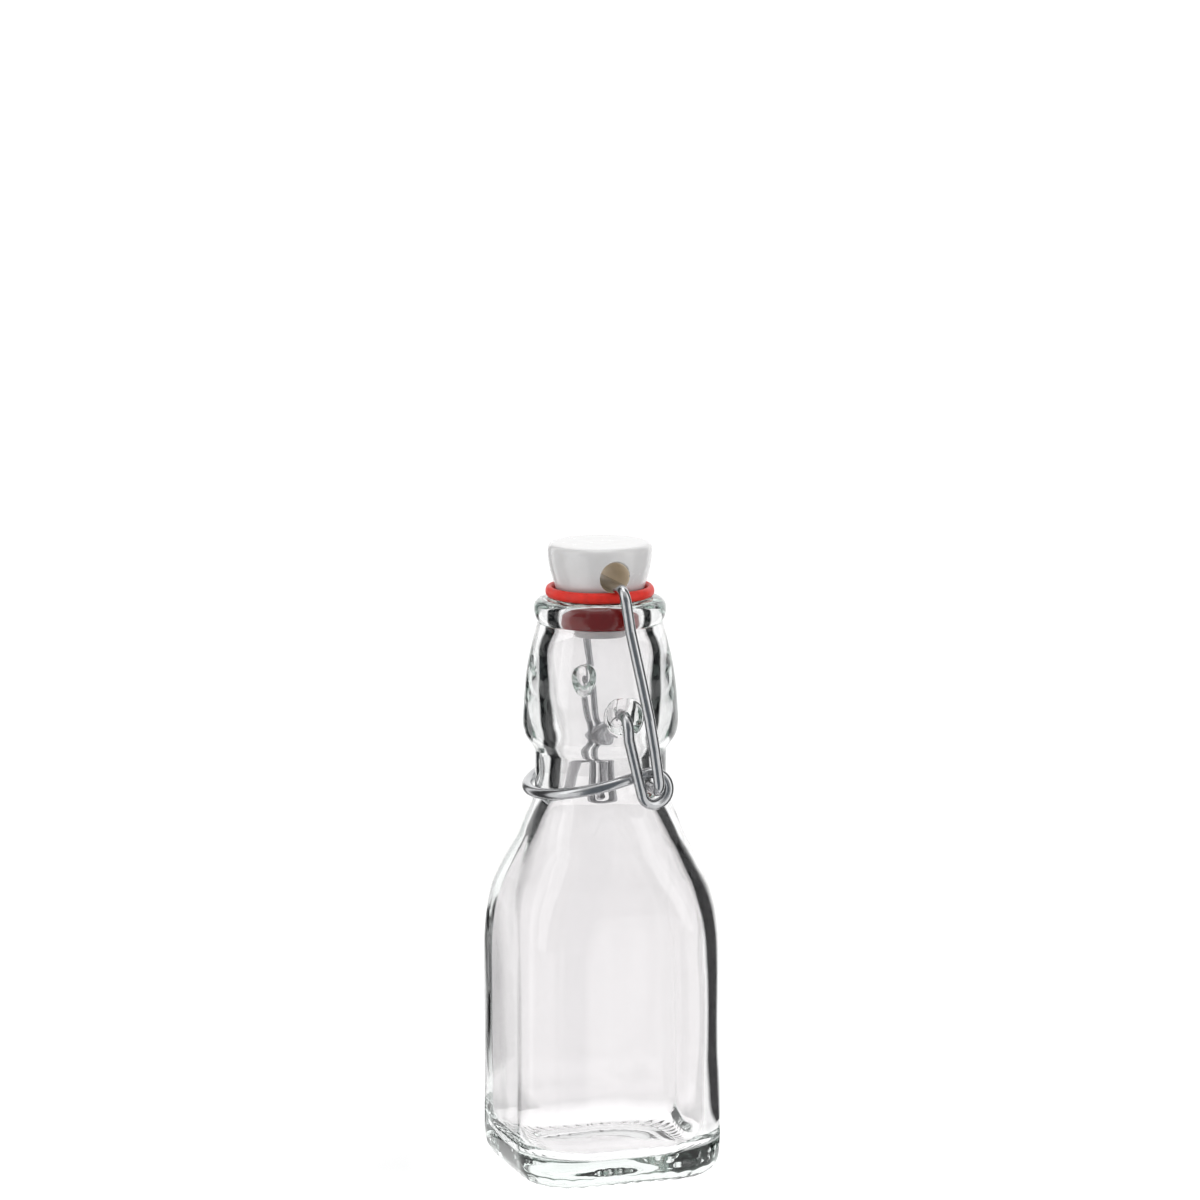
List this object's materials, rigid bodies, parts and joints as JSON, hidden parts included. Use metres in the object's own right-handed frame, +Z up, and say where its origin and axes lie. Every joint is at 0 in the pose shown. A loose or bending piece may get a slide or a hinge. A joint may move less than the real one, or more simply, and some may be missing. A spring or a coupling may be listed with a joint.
{
  "type": "swing-top bottle",
  "caption": "Square clear glass bottle with a round neck, closed by a white stopper with a red rubber gasket that a wire lever and bail pull down onto the mouth.",
  "frame": {"origin": "middle of the bottle's base, on the surface it stands on", "axes": "+Z up along the neck; the wires' pivots lie along Y, in the dimples on the -Y and +Y sides of the neck; the closed lever's handle goes round the -X side of the neck and its eyes are on the +X side"},
  "size_m": [0.0474, 0.0474, 0.1432],
  "materials": {
    "clear_glass": "smooth clear moulded glass, very slightly green where it is thick",
    "white_stopper": "glossy white moulding",
    "red_rubber": "smooth soft red rubber",
    "steel_wire": "bright drawn steel wire"
  },
  "bodies": {
    "bottle": {"glass_bottle": "clear_glass"},
    "lever": {"lever_wire": "steel_wire"},
    "bail": {"bail_wire": "steel_wire"},
    "closure": {"stopper": "white_stopper", "gasket": "red_rubber"}
  },
  "joints": [
    {"name": "lever_swing", "type": "hinge", "parent": "bottle", "child": "lever", "pos_m": [0, 0, 0.1065], "axis": [0, 1, 0], "range_deg": [0, 95], "deforming": ["gasket"]},
    {"name": "bail_swing", "type": "hinge", "parent": "lever", "child": "bail", "pos_m": [0.0066, 0, 0.0899], "axis": [0, 1, 0], "range_deg": [-61, 0]},
    {"name": "stopper_swing", "type": "hinge", "parent": "bail", "child": "closure", "pos_m": [0, 0, 0.1348], "axis": [0, 1, 0], "range_deg": [-34.5, 0]}
  ],
  "couplings": [
    {"joint": "bail_swing", "follows": "lever_swing", "ratio": -0.64},
    {"joint": "stopper_swing", "follows": "lever_swing", "ratio": -0.36}
  ]
}
